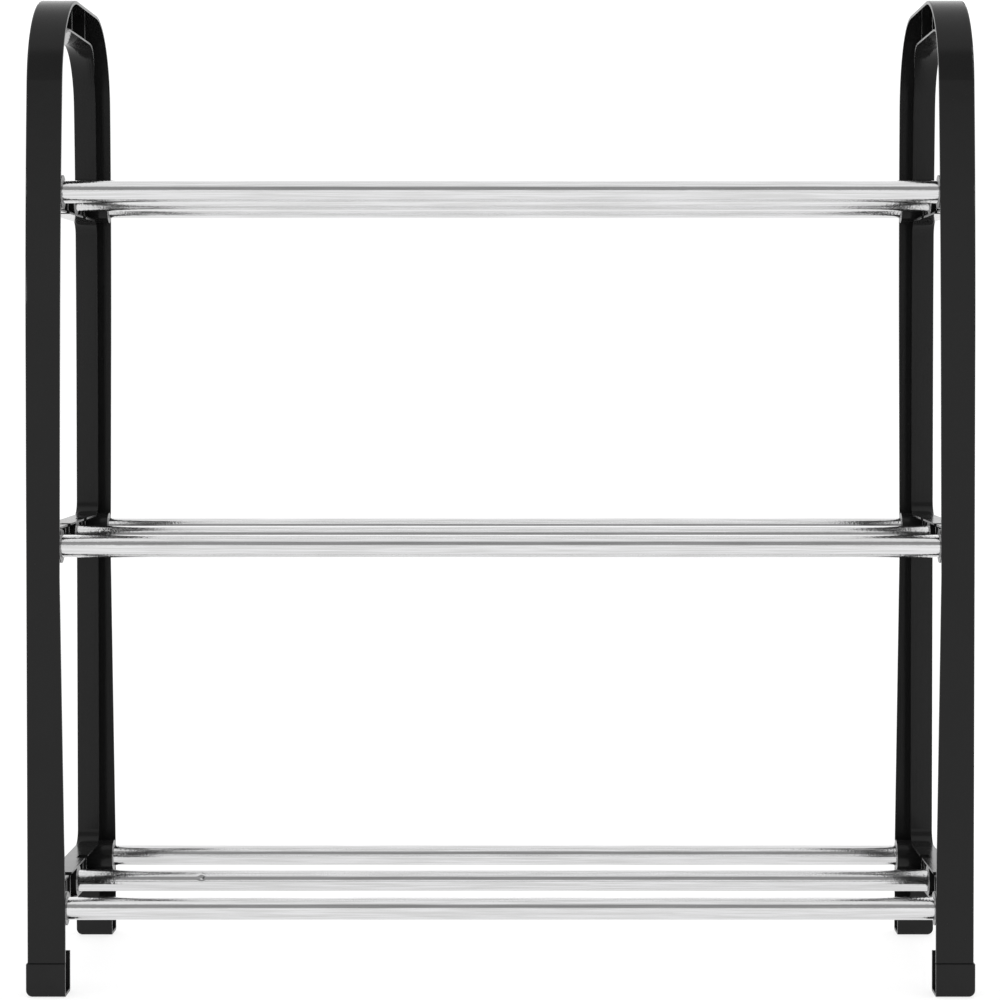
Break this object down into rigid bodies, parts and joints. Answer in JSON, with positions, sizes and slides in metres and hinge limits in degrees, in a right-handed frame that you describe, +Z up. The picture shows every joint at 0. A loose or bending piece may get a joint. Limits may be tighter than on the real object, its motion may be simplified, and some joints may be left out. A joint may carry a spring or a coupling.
{
  "type": "tiered shoe rack",
  "caption": "Free-standing tiered shoe rack: bright metal tubes form open shelves between two arched black plastic side frames.",
  "frame": {"origin": "on the floor, in the middle of the footprint of the four foot caps", "axes": "+Z up, +X to the right along the tubes, +Y from the front to the back"},
  "size_m": [0.5018, 0.18, 0.532],
  "materials": {
    "frame_plastic": "satin black moulded polypropylene",
    "cap_plastic": "satin black moulded foot cap",
    "tube_steel": "bright plated, thin-walled steel tube"
  },
  "bodies": {
    "root": {"side_frame_left": "frame_plastic", "side_frame_right": "frame_plastic", "foot_cap_front_left": "cap_plastic", "foot_cap_front_right": "cap_plastic", "foot_cap_rear_left": "cap_plastic", "foot_cap_rear_right": "cap_plastic", "tube_lower_front": "tube_steel", "tube_lower_middle": "tube_steel", "tube_lower_rear": "tube_steel", "tube_middle_front": "tube_steel", "tube_middle_middle": "tube_steel", "tube_middle_rear": "tube_steel", "tube_upper_front": "tube_steel", "tube_upper_middle": "tube_steel", "tube_upper_rear": "tube_steel"}
  },
  "joints": []
}
